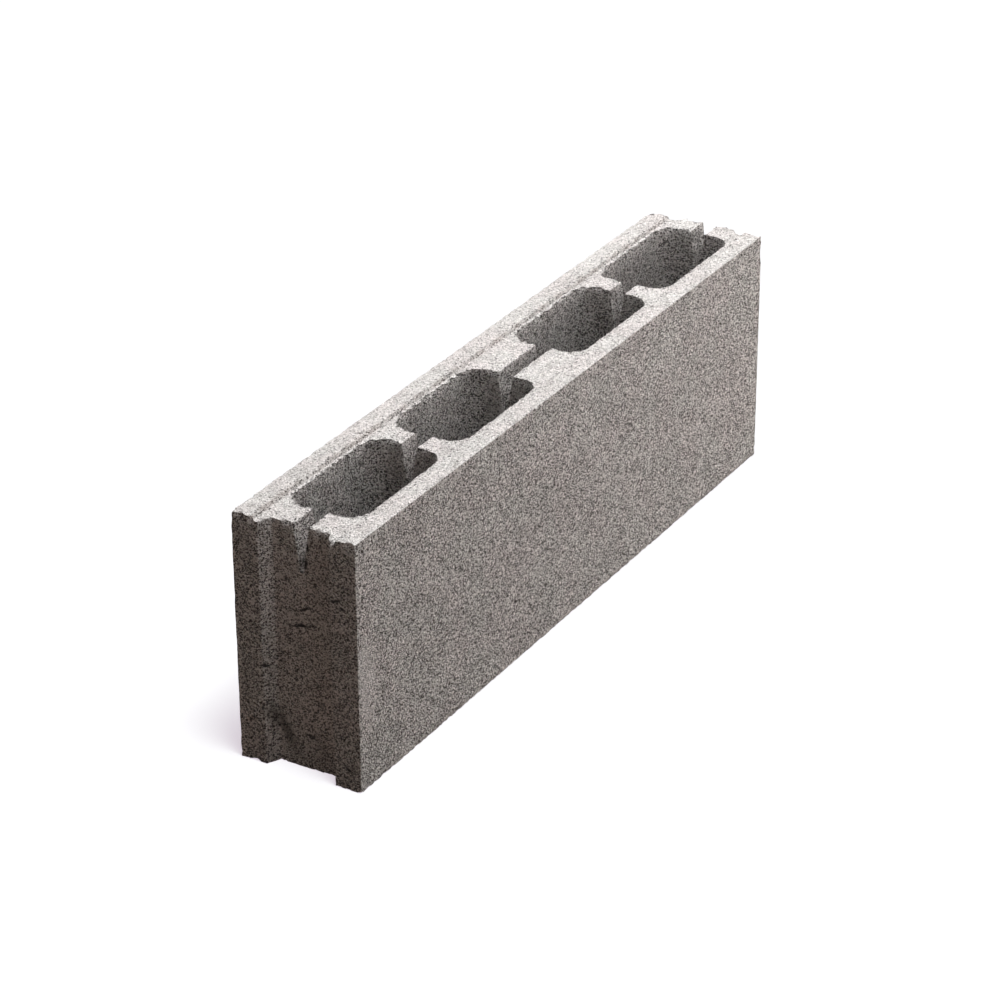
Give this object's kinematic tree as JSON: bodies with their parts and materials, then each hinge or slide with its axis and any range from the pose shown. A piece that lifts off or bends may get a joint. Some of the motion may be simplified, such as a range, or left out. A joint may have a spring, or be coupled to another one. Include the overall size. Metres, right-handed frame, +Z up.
{
  "type": "concrete partition block",
  "caption": "Hollow concrete partition block with rounded through cells, a grooved end, a tongued end, raised bedding strips and a tapered notch along its webs.",
  "frame": {"origin": "middle of the block's bounding box, at the level of the bed face", "axes": "+X along the block towards the tongued end, +Y across the block, +Z up, as the block stands on its bed face"},
  "size_m": [0.6076, 0.1, 0.195],
  "materials": {
    "concrete": "rough, open-textured"
  },
  "bodies": {
    "root": {"partition_block": "concrete"}
  },
  "joints": []
}
